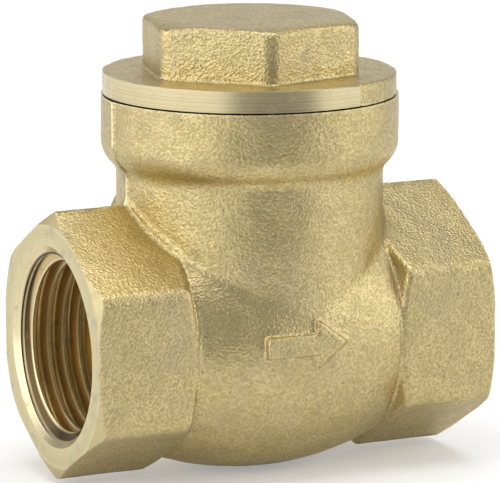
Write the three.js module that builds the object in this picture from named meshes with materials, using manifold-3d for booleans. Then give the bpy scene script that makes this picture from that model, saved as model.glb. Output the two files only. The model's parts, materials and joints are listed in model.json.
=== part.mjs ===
// A brass swing check valve with G 1/2 female ends, in millimetres, +Z up.
// Flow runs along +X. The clapper hangs from a pin across the neck and closes on a leaning seat at the inlet.
// The origin is under the belly, on the bonnet's axis. Heights below are above the pipe axis, at AXIS_HEIGHT.
import * as THREE from "three";
import { mergeVertices } from "three/addons/utils/BufferGeometryUtils.js";
import Module from "manifold-3d";

const wasm = await Module();
wasm.setup();

// ---- Driving dimensions ----
const HALF_LENGTH = 23.75; // pipe axis, bonnet axis to end face
const HEX_FLATS = 26; // across flats of the hexagon ends
const HEX_FACE = { radius: 13.3, bevel: 0.62 }; // turned bevel round each end face
const BELLY_RADIUS = 15.3; // barrel between the hexagons, at its middle
const BELLY_ARC = 33.4; // radius of the barrel's long curve
const BARREL_END = 12.15; // half length of the barrel
const HEX_HEEL = 0.85; // length of the cone behind each hexagon
const AXIS_HEIGHT = BELLY_RADIUS;

const NECK_RADIUS = 14.7;
const COLLAR = { radius: 16.35, foot: 18.3, shoulder: 20, top: 26.25 };
const ARROW = { tail: -5.2, tip: 4.4, barb: 0.6, half: 2.7, shaft: 1.1, height: 1, face: 15.7 };

// The chamber is a full round above its floor. Below that, walls close it off from the inlet and the outlet.
const CHAMBER = { radius: 12.4, floor: 9.6, inlet: 10.3, outlet: 12, foot: -3 };
const INNER_BELLY = { radius: 12.3, arc: 30 };

const PIPE = { pitch: 1.814, major: 10.478, minor: 9.316, crest: 0.15, flank: 27.5, inner: 9.15 };
const SOCKET = { mouth: 11, chamfer: 0.65, lead: 0.9, thread: 9.2, depth: 10.4 };
const INLET_PORT_RADIUS = 6.3;
const OUTLET_PORT = { radius: 7.6, start: 8 };

const BONNET_FEMALE = { pitch: 1.5, major: 13.5, minor: 12.7, crest: 0.094, flank: 30, inner: 12.55 };
const BONNET_MALE = { pitch: 1.5, major: 13.35, minor: 12.5, crest: 0.1, flank: 30, inner: 12.3 };
const SKIRT_FOOT = 18.6;
const SKIRT_CHAMFER = 0.4;
const BONNET_THREAD = { start: SKIRT_FOOT + 1, maleTurns: 3, femaleTurns: 6, runOut: 17 };
const RING_SEAT = { radius: 14.1, depth: 1.65 }; // counterbore in the collar for the O-ring
const RING = { centre: 13.24, section: 0.7, gap: 0.05 };
const JOINT_GAP = 0.1; // between the collar's top and the cap's flange

const FLANGE = { radius: 16.1, thick: 2.4, edge: 0.2 };
const CAP_HEX = { flats: 22, top: 34.7, chamfer: 0.85, turn: -14.3 }; // turn: where the tightened cap stopped
const CAP_HOLLOW = { radius: 9.6, top: 30.5, chamfer: 2 };

const TILT = THREE.MathUtils.degToRad(5); // the seat leans, so that the clapper closes by its own weight
const ARM_LENGTH = 10.2; // hinge axis to disc axis
const SEAT_OFFSET = 3.2; // hinge axis to seat plane, along the seat's normal
const HINGE_X = -6;
const HINGE_Z = SEAT_OFFSET * Math.sin(TILT) + ARM_LENGTH * Math.cos(TILT);
const SEAT = { lip: 6.9, base: 8.3, lipHeight: 0.8, back: 8 };

const PIN = { radius: 1.25, front: -11.2, back: 11 };
const PIN_HOLE = { radius: 1.32, front: -11.35 };
const LUG = { radius: 3.4, inner: 5.8, outer: 13 };
const PLUG_BOSS = { radius: 4.6, root: 8, face: 14.6 };
const PLUG = { shank: 2.4, foot: 11.2, head: 3.6, headThick: 1.2, footChamfer: 0.4, headChamfer: 0.3 };
const PLUG_SLOT = { wide: 0.9, deep: 0.6 };
const PLUG_HOLE = { radius: 2.5, foot: 11.05 };
const PLUG_WASHER = { inner: 2.6, outer: 3.7, thick: 0.45, gap: 0.04 };

// The clapper, along the seat's normal from the hinge axis, positive downstream.
const HUB = { radius: 2.35, half: 5.5, hole: 1.35 };
const ARM = { back: 0, front: 2.4, eye: 4.3, eyeStart: 0.25, shoulder: 4, hole: 2.65 }; // eyeStart in radians
const HEEL = { tip: 6, halfWide: 2, halfThick: 1 }; // meets the chamber wall when the clapper is fully open
const DISC = { radius: 7.7, recessRadius: 7.3, front: -2.4, recess: -1.5, plate: -0.5, boss: -0.25 };
const DISC_EDGE = { front: 0.2, back: 0.6, boss: 0.3 }; // chamfers
const STUD = { radius: 2.5, end: 6.4, chamfer: 0.4 };
const SEAL = { outer: 7.2, inner: 1.3, front: -2.95, back: -1.55 };
const SEAL_WASHER = { outer: 3.5, inner: 1.1, front: -3.55, back: -3 };
const SCREW = { shank: 1, hole: 1.06, holeEnd: 1.6, head: 2.2, headThick: 1.3, headChamfer: 0.5, end: 1.2 };
const SCREW_SLOT = { wide: 0.6, deep: 0.6 };
const SCREW_GAP = 0.04; // under its head
const DISC_WASHER = { outer: 4.2, inner: 2.6, back: 2.6, front: 3.2 };
const DISC_NUT = { flats: 8, bore: 2.56, back: 3.25, front: 5.8, chamfer: 0.45 };

// ---- Solids ----
const ROUND = 40; // facets round a large turned piece
const SMALL = 24; // facets round a pin, hole or screw
const TURN = 24; // facets round one turn of a thread and its bore
const INTO = 0.5; // how far a solid reaches into the one that it is joined to
const PAST = 1; // how far a cutter reaches past the face that it starts from

function solidOf(geometry) {
  const loose = geometry.index ? geometry.toNonIndexed() : geometry;
  const bare = new THREE.BufferGeometry().setAttribute("position", loose.getAttribute("position"));
  const merged = mergeVertices(bare, 1e-4);
  const corners = merged.index.array;
  const build = (order) => {
    const kept = [];
    for (let i = 0; i < corners.length; i += 3) {
      const [a, b, c] = order.map((k) => corners[i + k]);
      if (a !== b && b !== c && a !== c) kept.push(a, b, c);
    }
    const vertProperties = merged.attributes.position.array;
    return new wasm.Manifold(new wasm.Mesh({ numProp: 3, vertProperties, triVerts: new Uint32Array(kept) }));
  };
  const made = build([0, 1, 2]);
  return made.volume() < 0 ? build([0, 2, 1]) : made;
}

function geometryOf(solid) {
  const { vertProperties, triVerts } = solid.getMesh();
  return new THREE.BufferGeometry()
    .setAttribute("position", new THREE.BufferAttribute(vertProperties, 3))
    .setIndex(new THREE.BufferAttribute(triVerts, 1));
}

// Stands a Y-axis geometry along another axis.
const ALONG = {
  x: (geometry) => geometry.rotateZ(-Math.PI / 2),
  y: (geometry) => geometry,
  z: (geometry) => geometry.rotateX(Math.PI / 2),
};

// A solid turned about an axis, from [radius, distance along the axis] points.
function turned(axis, points, facets = ROUND) {
  const profile = points.map(([radius, along]) => new THREE.Vector2(radius, along));
  return solidOf(ALONG[axis](new THREE.LatheGeometry(profile, facets)));
}

function rod(axis, radius, from, to, facets = ROUND) {
  return turned(axis, [[0, from], [radius, from], [radius, to], [0, to]], facets);
}

function tube(axis, inner, outer, from, to, facets = ROUND) {
  return turned(axis, [[inner, from], [outer, from], [outer, to], [inner, to], [inner, from]], facets);
}

// A hexagon prism with two corners on the axis's upright, or turned by some degrees.
function hexagon(axis, flats, from, to, turn = 0) {
  const prism = new THREE.CylinderGeometry(flats / Math.sqrt(3), flats / Math.sqrt(3), to - from, 6);
  prism.translate(0, (from + to) / 2, 0).rotateY(THREE.MathUtils.degToRad(turn));
  return solidOf(ALONG[axis](prism));
}

function box([x0, y0, z0], [x1, y1, z1]) {
  const block = new THREE.BoxGeometry(x1 - x0, y1 - y0, z1 - z0);
  return solidOf(block.translate((x0 + x1) / 2, (y0 + y1) / 2, (z0 + z1) / 2));
}

function joined(first, ...others) {
  return others.reduce((whole, other) => whole.add(other), first);
}

function cut(first, ...others) {
  return others.reduce((whole, other) => whole.subtract(other), first);
}

// The helical ridge of a right-hand thread about Z. Its flanks are straight, and it fades over half a turn at
// each end that is asked for. Its centre is at height start where it crosses +X.
function threadRidge(form, start, turns, fadeFoot, fadeHead) {
  const slope = Math.tan(THREE.MathUtils.degToRad(form.flank));
  const depth = form.major - form.inner;
  const wide = form.crest + depth * slope;
  const section = new THREE.Shape([
    new THREE.Vector2(0, -wide),
    new THREE.Vector2(depth, -form.crest),
    new THREE.Vector2(depth, form.crest),
    new THREE.Vector2(0, wide),
  ]);
  const bar = new THREE.ExtrudeGeometry(section, { depth: turns, steps: turns * TURN, bevelEnabled: false });
  const position = bar.getAttribute("position");
  const least = (form.minor - form.inner) / depth / 2;
  for (let i = 0; i < position.count; i++) {
    const turn = position.getZ(i);
    const fromFoot = fadeFoot ? Math.min(1, least + turn * 2) : 1;
    const fromHead = fadeHead ? Math.min(1, least + (turns - turn) * 2) : 1;
    const radius = form.inner + position.getX(i) * Math.min(fromFoot, fromHead);
    const angle = turn * 2 * Math.PI;
    const height = start + form.pitch * turn - position.getY(i);
    position.setXYZ(i, radius * Math.cos(angle), radius * Math.sin(angle), height);
  }
  return solidOf(bar);
}

// ---- Body ----
// The profile of a barrel: points along an arc, from one end to the other.
function barrelProfile(radius, arc, from, to, steps) {
  const points = [[0, from]];
  for (let i = 0; i <= steps; i++) {
    const x = from + ((to - from) * i) / steps;
    points.push([radius - arc + Math.sqrt(arc * arc - x * x), x]);
  }
  points.push([0, to]);
  return points;
}

// The hexagon ends: one prism, trimmed by a turned envelope that bevels its corners at the faces and behind.
function hexagonEnds() {
  const corner = HEX_FLATS / Math.sqrt(3) + PAST;
  const root = HEX_FLATS / 2;
  const heelSlope = HEX_HEEL / (HEX_FLATS / Math.sqrt(3) - root);
  const bevelSlope = HEX_FACE.bevel / (HEX_FLATS / Math.sqrt(3) - HEX_FACE.radius);
  const half = [
    [root, BARREL_END],
    [corner, BARREL_END + heelSlope * (corner - root)],
    [corner, HALF_LENGTH - bevelSlope * (corner - HEX_FACE.radius)],
    [HEX_FACE.radius, HALF_LENGTH],
  ];
  const other = half.map(([radius, x]) => [radius, -x]).reverse();
  const envelope = turned("x", [[0, -HALF_LENGTH], ...other, ...half, [0, HALF_LENGTH]]);
  return hexagon("x", HEX_FLATS, -HALF_LENGTH, HALF_LENGTH).intersect(envelope);
}

function bodyOutside() {
  const collar = turned("z", [
    [0, COLLAR.foot - INTO],
    [NECK_RADIUS - INTO, COLLAR.foot - INTO],
    [NECK_RADIUS - INTO, COLLAR.foot],
    [COLLAR.radius, COLLAR.shoulder],
    [COLLAR.radius, COLLAR.top],
    [0, COLLAR.top],
  ]);
  return joined(
    hexagonEnds(),
    turned("x", barrelProfile(BELLY_RADIUS, BELLY_ARC, -BARREL_END, BARREL_END, 8)),
    rod("z", NECK_RADIUS, 0, COLLAR.foot + INTO),
    collar,
    rod("y", PLUG_BOSS.radius, PLUG_BOSS.root, PLUG_BOSS.face, SMALL).translate(HINGE_X, 0, HINGE_Z),
    flowArrow(),
  );
}

// The raised arrow on the front of the belly, pointing downstream.
function flowArrow() {
  const { tail, tip, barb, half, shaft, height, face } = ARROW;
  const root = CHAMBER.radius + PAST;
  const outline = new THREE.Shape([
    new THREE.Vector2(tail, -shaft),
    new THREE.Vector2(barb, -shaft),
    new THREE.Vector2(barb, -half),
    new THREE.Vector2(tip, 0),
    new THREE.Vector2(barb, half),
    new THREE.Vector2(barb, shaft),
    new THREE.Vector2(tail, shaft),
  ]);
  const raised = new THREE.ExtrudeGeometry(outline, { depth: face - root, bevelEnabled: false });
  return solidOf(raised.rotateX(Math.PI / 2).translate(0, -root, height));
}

// A pipe socket about Z, its mouth at height 0 and its floor above it.
function socket() {
  const bore = turned("z", [
    [0, -PAST],
    [SOCKET.mouth + PAST, -PAST],
    [SOCKET.mouth, 0],
    [SOCKET.mouth - SOCKET.chamfer, SOCKET.chamfer],
    [PIPE.minor, SOCKET.chamfer + SOCKET.lead],
    [PIPE.minor, SOCKET.depth],
    [0, SOCKET.depth],
  ], TURN);
  const turns = Math.ceil(SOCKET.thread / PIPE.pitch) + 1;
  return bore.add(threadRidge(PIPE, SOCKET.thread - turns * PIPE.pitch, turns, false, true));
}

// The chamber: round above its floor, walled off from the sockets below it, with a barrel under the axis.
function chamber() {
  const { radius, floor, inlet, outlet, foot } = CHAMBER;
  const belly = barrelProfile(INNER_BELLY.radius, INNER_BELLY.arc, -inlet, inlet, 4);
  const between = box([-inlet, -radius, foot], [outlet, radius, floor + INTO]);
  const middle = rod("z", radius, foot, floor + INTO).intersect(between);
  return joined(rod("z", radius, floor, COLLAR.foot), middle, turned("x", belly));
}

// The threaded mouth of the neck, with the O-ring's seat at its top.
function bonnetMouth() {
  const ringSeat = COLLAR.top - RING_SEAT.depth;
  const bore = turned("z", [
    [0, BONNET_THREAD.runOut],
    [BONNET_FEMALE.minor, BONNET_THREAD.runOut],
    [BONNET_FEMALE.minor, ringSeat],
    [RING_SEAT.radius, ringSeat],
    [RING_SEAT.radius, COLLAR.top + PAST],
    [0, COLLAR.top + PAST],
  ], TURN);
  const start = BONNET_THREAD.start - BONNET_FEMALE.pitch;
  const thread = threadRidge(BONNET_FEMALE, start, BONNET_THREAD.femaleTurns, true, false);
  return bore.add(thread.intersect(rod("z", RING_SEAT.radius, 0, COLLAR.top)));
}

// Moves a solid made about the hinge axis, as if the clapper hung straight down, to its place at the seat.
function aboutHinge(solid) {
  return solid.rotate([0, -THREE.MathUtils.radToDeg(TILT), 0]).translate(HINGE_X, 0, HINGE_Z);
}

function seatBoss() {
  const face = -SEAT_OFFSET;
  const profile = [[0, -SEAT.back], [SEAT.base, -SEAT.back], [SEAT.base, face - SEAT.lipHeight]];
  profile.push([SEAT.lip, face - SEAT.lipHeight / 2], [SEAT.lip, face], [0, face]);
  return aboutHinge(turned("x", profile).translate(0, 0, -ARM_LENGTH));
}

function lug(side) {
  const reach = rod("y", LUG.radius, LUG.inner, LUG.outer, SMALL).translate(HINGE_X, 0, HINGE_Z);
  const inside = reach.intersect(rod("z", (CHAMBER.radius + NECK_RADIUS) / 2, 0, COLLAR.foot));
  return side > 0 ? inside : inside.mirror([0, 1, 0]);
}

function valveBody() {
  const inlet = socket().rotate([0, 90, 0]).translate(-HALF_LENGTH, 0, 0);
  const outlet = socket().rotate([0, 90, 180]).translate(HALF_LENGTH, 0, 0);
  const bore = rod("x", INLET_PORT_RADIUS, -SEAT.back - SEAT_OFFSET, 0);
  const wallSide = box(
    [-CHAMBER.inlet - 2 * PAST, -CHAMBER.radius, -CHAMBER.radius],
    [-SEAT_OFFSET, CHAMBER.radius, CHAMBER.floor - INTO],
  );
  const shell = cut(bodyOutside(), chamber());
  return cut(
    joined(shell, seatBoss().intersect(wallSide), lug(1), lug(-1)),
    inlet,
    outlet,
    aboutHinge(bore.translate(0, 0, -ARM_LENGTH)),
    rod("x", OUTLET_PORT.radius, OUTLET_PORT.start, HALF_LENGTH - SOCKET.depth + INTO),
    bonnetMouth(),
    rod("y", PIN_HOLE.radius, PIN_HOLE.front, PLUG_BOSS.face, SMALL).translate(HINGE_X, 0, HINGE_Z),
    rod("y", PLUG_HOLE.radius, PLUG_HOLE.foot, PLUG_BOSS.face + PAST, SMALL).translate(HINGE_X, 0, HINGE_Z),
  );
}

// ---- Bonnet ----
function bonnetCap() {
  const flangeFoot = COLLAR.top + JOINT_GAP;
  const flangeTop = flangeFoot + FLANGE.thick;
  const inradius = CAP_HEX.flats / 2;
  const corner = CAP_HEX.flats / Math.sqrt(3);
  const headEnvelope = turned("z", [
    [0, flangeTop - INTO],
    [corner + INTO, flangeTop - INTO],
    [corner + INTO, CAP_HEX.top - CAP_HEX.chamfer * (corner + INTO - inradius) / (corner - inradius)],
    [inradius, CAP_HEX.top],
    [0, CAP_HEX.top],
  ]);
  const prism = hexagon("z", CAP_HEX.flats, flangeTop - INTO, CAP_HEX.top, CAP_HEX.turn);
  const turnedPart = turned("z", [
    [0, SKIRT_FOOT],
    [BONNET_MALE.minor - SKIRT_CHAMFER, SKIRT_FOOT],
    [BONNET_MALE.minor, SKIRT_FOOT + SKIRT_CHAMFER],
    [BONNET_MALE.minor, flangeFoot],
    [FLANGE.radius, flangeFoot],
    [FLANGE.radius, flangeTop - FLANGE.edge],
    [FLANGE.radius - FLANGE.edge, flangeTop],
    [0, flangeTop],
  ], TURN * 2);
  const hollow = turned("z", [
    [0, SKIRT_FOOT - PAST],
    [CAP_HOLLOW.radius, SKIRT_FOOT - PAST],
    [CAP_HOLLOW.radius, CAP_HOLLOW.top - CAP_HOLLOW.chamfer],
    [CAP_HOLLOW.radius - CAP_HOLLOW.chamfer, CAP_HOLLOW.top],
    [0, CAP_HOLLOW.top],
  ]);
  const thread = threadRidge(BONNET_MALE, BONNET_THREAD.start, BONNET_THREAD.maleTurns, true, true);
  return cut(joined(prism.intersect(headEnvelope), turnedPart, thread), hollow);
}

function bonnetRing() {
  const height = COLLAR.top + JOINT_GAP - RING.section - RING.gap;
  return solidOf(new THREE.TorusGeometry(RING.centre, RING.section, 8, ROUND).translate(0, 0, height));
}

// ---- Hinge pin plug, about Y on the hinge axis ----
function pinPlug() {
  const under = PLUG_BOSS.face + PLUG_WASHER.thick + 2 * PLUG_WASHER.gap;
  const top = under + PLUG.headThick;
  const screw = turned("y", [
    [0, PLUG.foot],
    [PLUG.shank - PLUG.footChamfer, PLUG.foot],
    [PLUG.shank, PLUG.foot + PLUG.footChamfer],
    [PLUG.shank, under],
    [PLUG.head, under],
    [PLUG.head, top - PLUG.headChamfer],
    [PLUG.head - PLUG.headChamfer, top],
    [0, top],
  ], SMALL);
  const half = PLUG_SLOT.wide / 2;
  const reach = PLUG.head + PAST;
  return screw.subtract(box([-half, top - PLUG_SLOT.deep, -reach], [half, top + PAST, reach]));
}

function plugWasher() {
  const foot = PLUG_BOSS.face + PLUG_WASHER.gap;
  return tube("y", PLUG_WASHER.inner, PLUG_WASHER.outer, foot, foot + PLUG_WASHER.thick, SMALL);
}

// ---- Clapper, about its hinge axis, hanging straight down; the disc pieces are about their own axis ----
function swingArm() {
  const { eye, eyeStart, shoulder, hole, back, front } = ARM;
  const thick = front - back;
  const blade = new THREE.Shape();
  blade.moveTo(-shoulder, 0);
  blade.lineTo(shoulder, 0);
  blade.lineTo(eye * Math.cos(eyeStart), -ARM_LENGTH + eye * Math.sin(eyeStart));
  blade.absarc(0, -ARM_LENGTH, eye, eyeStart, Math.PI - eyeStart, true);
  const plate = new THREE.ExtrudeGeometry(blade, { depth: thick, bevelEnabled: false, curveSegments: 14 });
  const upright = new THREE.Matrix4().makeBasis(
    new THREE.Vector3(0, 1, 0),
    new THREE.Vector3(0, 0, 1),
    new THREE.Vector3(1, 0, 0),
  );
  plate.applyMatrix4(upright).translate(back, 0, 0);
  const heel = box([-HEEL.halfThick, -HEEL.halfWide, 0], [HEEL.halfThick, HEEL.halfWide, HEEL.tip]);
  return cut(
    joined(rod("y", HUB.radius, -HUB.half, HUB.half, SMALL), solidOf(plate), heel),
    rod("y", HUB.hole, -HUB.half - PAST, HUB.half + PAST, SMALL),
    rod("x", hole, -HUB.radius - PAST, front + PAST, SMALL).translate(0, 0, -ARM_LENGTH),
  );
}

function discHolder() {
  return cut(
    turned("x", [
      [0, DISC.recess],
      [DISC.recessRadius, DISC.recess],
      [DISC.recessRadius, DISC.front],
      [DISC.radius - DISC_EDGE.front, DISC.front],
      [DISC.radius, DISC.front + DISC_EDGE.front],
      [DISC.radius, DISC.plate - DISC_EDGE.back],
      [DISC.radius - DISC_EDGE.back, DISC.plate],
      [ARM.eye, DISC.plate],
      [ARM.eye - DISC_EDGE.boss, DISC.boss],
      [STUD.radius, DISC.boss],
      [STUD.radius, STUD.end - STUD.chamfer],
      [STUD.radius - STUD.chamfer, STUD.end],
      [0, STUD.end],
    ]),
    rod("x", SCREW.hole, DISC.recess - PAST, SCREW.holeEnd, SMALL),
  );
}

function sealScrew() {
  const under = SEAL_WASHER.front - SCREW_GAP;
  const top = under - SCREW.headThick;
  const turnedScrew = turned("x", [
    [0, top],
    [SCREW.head - SCREW.headChamfer, top],
    [SCREW.head, top + SCREW.headChamfer],
    [SCREW.head, under],
    [SCREW.shank, under],
    [SCREW.shank, SCREW.end],
    [0, SCREW.end],
  ], SMALL);
  const half = SCREW_SLOT.wide / 2;
  const reach = SCREW.head + PAST;
  return turnedScrew.subtract(box([top - PAST, -reach, -half], [top + SCREW_SLOT.deep, reach, half]));
}

function flatWasher({ outer, inner, front, back }) {
  return tube("x", inner, outer, Math.min(front, back), Math.max(front, back), SMALL);
}

function discNut() {
  const { flats, back, front, bore, chamfer } = DISC_NUT;
  const outer = flats / Math.sqrt(3) + INTO;
  const crown = turned("x", [
    [0, back],
    [outer, back],
    [outer, front - chamfer],
    [flats / 2, front],
    [0, front],
  ], SMALL);
  const hole = rod("x", bore, back - PAST, front + PAST, SMALL);
  return cut(hexagon("x", flats, back, front).intersect(crown), hole);
}

// ---- Materials ----
function metal(color, roughness) {
  return new THREE.MeshStandardMaterial({ color, roughness, metalness: 1 });
}

const forgedBrass = metal(0xc6ae74, 0.5);
const turnedBrass = metal(0xcdb26a, 0.3);
const stainless = metal(0xb9bbbd, 0.25);
const nitrile = new THREE.MeshStandardMaterial({ color: 0x1c1c1d, roughness: 0.75, metalness: 0 });

// ---- Assembly ----
function piece(name, solid, material) {
  const mesh = new THREE.Mesh(geometryOf(solid), material);
  mesh.name = name;
  return mesh;
}

const disc = new THREE.Group();
disc.position.set(0, 0, -ARM_LENGTH);
disc.add(
  piece("disc_holder", discHolder(), turnedBrass),
  piece("seat_seal", tube("x", SEAL.inner, SEAL.outer, SEAL.front, SEAL.back), nitrile),
  piece("seal_washer", flatWasher(SEAL_WASHER), stainless),
  piece("seal_screw", sealScrew(), stainless),
  piece("disc_washer", flatWasher(DISC_WASHER), turnedBrass),
  piece("disc_nut", discNut(), turnedBrass),
);

const clapper = new THREE.Group();
clapper.rotation.y = -TILT;
clapper.add(piece("swing_arm", swingArm(), turnedBrass), disc);

const hinge = new THREE.Group();
hinge.position.set(HINGE_X, 0, HINGE_Z);
hinge.add(
  clapper,
  piece("hinge_pin", rod("y", PIN.radius, PIN.front, PIN.back, SMALL), stainless),
  piece("pin_plug", pinPlug(), turnedBrass),
  piece("pin_plug_washer", plugWasher(), nitrile),
);

const valve = new THREE.Group();
valve.position.z = AXIS_HEIGHT;
valve.add(
  piece("valve_body", valveBody(), forgedBrass),
  piece("bonnet_cap", bonnetCap(), forgedBrass),
  piece("bonnet_o_ring", bonnetRing(), nitrile),
  hinge,
);

const part = new THREE.Group();
part.add(valve);

export default part;
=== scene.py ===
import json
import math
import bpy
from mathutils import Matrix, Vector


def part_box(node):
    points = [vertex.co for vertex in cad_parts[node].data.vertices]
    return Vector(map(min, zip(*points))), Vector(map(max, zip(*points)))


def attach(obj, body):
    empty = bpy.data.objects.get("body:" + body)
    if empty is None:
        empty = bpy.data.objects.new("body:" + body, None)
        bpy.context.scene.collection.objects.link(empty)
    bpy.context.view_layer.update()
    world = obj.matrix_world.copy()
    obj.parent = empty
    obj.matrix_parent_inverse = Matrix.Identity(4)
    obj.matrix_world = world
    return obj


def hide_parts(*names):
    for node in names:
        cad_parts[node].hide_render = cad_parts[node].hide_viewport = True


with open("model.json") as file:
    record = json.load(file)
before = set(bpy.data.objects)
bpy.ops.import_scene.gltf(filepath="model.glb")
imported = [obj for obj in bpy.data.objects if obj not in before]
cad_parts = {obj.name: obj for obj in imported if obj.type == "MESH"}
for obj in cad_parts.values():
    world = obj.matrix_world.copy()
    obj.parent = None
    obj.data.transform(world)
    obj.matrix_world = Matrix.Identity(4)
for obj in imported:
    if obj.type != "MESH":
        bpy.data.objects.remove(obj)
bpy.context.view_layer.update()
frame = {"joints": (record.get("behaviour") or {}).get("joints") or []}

# A forged brass swing check valve. Shapes are built in millimetres in the frame's axes, with heights above
# the pipe axis, and are moved to the frame's metres at the end of each piece.
from types import SimpleNamespace as Sizes

import bpy
import numpy as np
from mathutils import Matrix, Vector

MM = 0.001


# ---- Driving dimensions ----
def box_mm(node):
    low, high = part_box(node)
    return low / MM, high / MM


def joint_named(name):
    return next(joint for joint in frame["joints"] if joint["name"] == name)


body_low, body_high = box_mm("valve_body")
cap_low, cap_high = box_mm("bonnet_cap")
pin_low, pin_high = box_mm("hinge_pin")
plug_low, _ = box_mm("pin_plug")

AXIS = Vector(joint_named("disc_spin")["axis"])
HINGE = Vector(joint_named("clapper_swing")["pos_m"]) / MM
DISC_CENTRE = Vector(joint_named("disc_spin")["pos_m"]) / MM
TILT = math.atan2(AXIS.z, AXIS.x)
ARM_LENGTH = (DISC_CENTRE - HINGE).length

BELLY_RADIUS = 15.3
PIPE_HEIGHT = body_low.z + BELLY_RADIUS
HALF_LENGTH = body_high.x
HINGE_X = HINGE.x
HINGE_Z = HINGE.z - PIPE_HEIGHT

# Sizes are in millimetres. Heights on the body and the cap are above the pipe axis, and lengths on the
# hinge pin, the plug, the arm and the disc are from the hinge or the disc's middle, along their own axes.
HEX_FLATS = 26
HEX_ROUND = 0.8
HEX_FACE = Sizes(radius=13.3, bevel=0.62)
HEEL = Sizes(start=12.2, length=0.85)
BELLY_ARC = 33.4
BARREL_END = 12.15

NECK_RADIUS = 14.7
COLLAR = Sizes(radius=body_high.y, foot=18.3, shoulder=20.0, top=body_high.z - PIPE_HEIGHT)

CHAMBER = Sizes(radius=12.4, foot=-3.0, floor=9.6, inlet=10.3, outlet=12.0)
BELLY_SPACE = {"radius": 12.3, "arc": 30.0}
PORT = Sizes(radius=6.3, reach=3.0)
OUTLET_PORT = Sizes(radius=7.6, start=8.0)
SEAT = Sizes(face=-3.2, lip=6.9, edge=0.1, base=8.3, height=0.8, back=-8.0, roof_gap=0.4)
LUG = Sizes(radius=3.4, inner=5.8, outer=14.0)
PIN = Sizes(radius=1.25, front=pin_low.y, back=pin_high.y, edge=0.25)
PIN_HOLE = Sizes(radius=1.32, front=PIN.front - 0.15)
PLUG_BOSS = Sizes(radius=4.6, root=8.0, face=14.6, stock=0.3, spot_face=4.25)
PLUG_HOLE = Sizes(radius=2.5, foot=PIN.back + 0.05)
PLUG = Sizes(foot=plug_low.y, under=15.13, head=3.6, head_thick=1.2, edge=0.1, chamfer=0.3)
PLUG_DOME = [(0, 0.35), (0.1, 0.15), (0.35, 0)]  # in from the head's edge, down from its top
PLUG_SLOT = Sizes(wide=0.9, deep=0.6)
PLUG_WASHER = {"inner": 2.6, "outer": 3.7, "start": 14.64, "end": 15.09, "edge": 0.1}
PLUG_THREAD = Sizes(pitch=0.5, major=2.4, minor=2.12, crest=0.05, flank=30, inner=2.0)
PLUG_THREAD_END = PLUG.under - 0.4

PIPE_THREAD = Sizes(pitch=1.814, major=10.478, minor=9.316, crest=0.15, flank=27.5, inner=9.15)
SOCKET = Sizes(mouth=11.0, chamfer=0.65, lead=0.9, thread=9.2, depth=10.4, start_angle=-70)
BONNET_FEMALE = Sizes(pitch=1.5, major=13.5, minor=12.7, crest=0.094, flank=30, inner=12.55)
BONNET_MALE = Sizes(pitch=1.5, major=13.35, minor=12.5, crest=0.1, flank=30, inner=12.3)
SKIRT_FOOT = cap_low.z - PIPE_HEIGHT
SKIRT_CHAMFER = 0.4
BONNET_START = SKIRT_FOOT + 1  # the foot of its thread
BONNET_TURNS = 3
MOUTH = Sizes(foot=17.0, chamfer=0.3, edge=0.15, turns=6)
RING_SEAT = Sizes(radius=14.1, depth=1.65)
RING = Sizes(centre=13.24, section=0.7, gap=0.05, sides=28)

FLANGE = Sizes(radius=cap_high.x, foot=COLLAR.top + 0.1, thick=2.4, edge=0.06, clear=0.4)
CAP_HEX = Sizes(flats=22, top=cap_high.z - PIPE_HEIGHT, turn=-14.3, round=1.0)
CROWN = Sizes(height=0.75, spread=1.2)
CAP_HOLLOW = Sizes(radius=9.6, top=30.5, chamfer=0.3, corner=2.0)

HUB = Sizes(radius=2.35, half=5.5, hole=1.35)
ARM = Sizes(back=0, front=2.4, eye=4.3, shoulder=4, hole=2.65, spot_face=3.95, facing=0.06)
HEEL_STOP = Sizes(tip=6, half_wide=2, half_thick=1)
DISC = Sizes(radius=7.7, edge=0.2, front=-2.4, plate=-0.5, boss=-0.25)
DISC_DOME = [(0, 0.6), (0.2, 0.2), (0.6, 0)]  # in from the rim, down from the plate
RECESS = Sizes(radius=7.3, floor=-1.5, edge=0.15)
SHANK = Sizes(radius=2.5, end=2.4, taper=0.3)
STUD = Sizes(start=3.0, end=6.4, tip=0.4, tip_deep=0.3, bare=0.5)
STUD_THREAD = Sizes(pitch=0.8, major=2.5, minor=2.05, crest=0.08, flank=30, inner=1.9)
NUT_THREAD = Sizes(pitch=0.8, major=2.58, minor=2.13, crest=0.1, flank=30, inner=2.0)
NUT = Sizes(flats=8, back=3.25, front=5.8, crown=0.45, crown_out=0.3)
NUT_LEAD = [(0.6, -1), (0.1, -0.01)]  # out from its thread, in from its face
NUT_LEAD_DEPTH = 0.4
DISC_WASHER = {"inner": 2.6, "outer": 4.2, "start": 2.6, "end": 3.2, "edge": 0.08}
SEAL = {"inner": 1.3, "outer": 7.2, "start": -2.95, "end": -1.55, "edge": 0.15}
SEAL_WASHER = {"inner": 1.1, "outer": 3.5, "start": -3.55, "end": -3.0, "edge": 0.08}
SCREW = Sizes(hole=1.06, head=2.2, head_thick=1.3, end=1.2, tip=0.2, gap=0.04, bare=0.3)
SCREW_DOME = [(0.9, 0.06), (0.35, 0.3), (0.08, 0.65), (0, 0.95)]  # in from its edge, down from its top
SCREW_SLOT = Sizes(wide=0.6, deep=0.6)
TAP_END = SCREW.end + 0.4
SCREW_THREAD = Sizes(pitch=0.4, major=1.0, minor=0.77, crest=0.04, flank=30, inner=0.7)

PAST = 1.0  # how far a cutter runs past the surface that it cuts
INTO = 0.5  # how far joined shapes run into each other
BLANK = 4.0  # how far trimming cutters reach outwards
MARGIN = 1.5  # room round a sculpted shape

SKIN, FACED, TURNED, THREADED = 0, 1, 2, 3  # material slots of a piece's surfaces
SLOTS = 4


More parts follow.
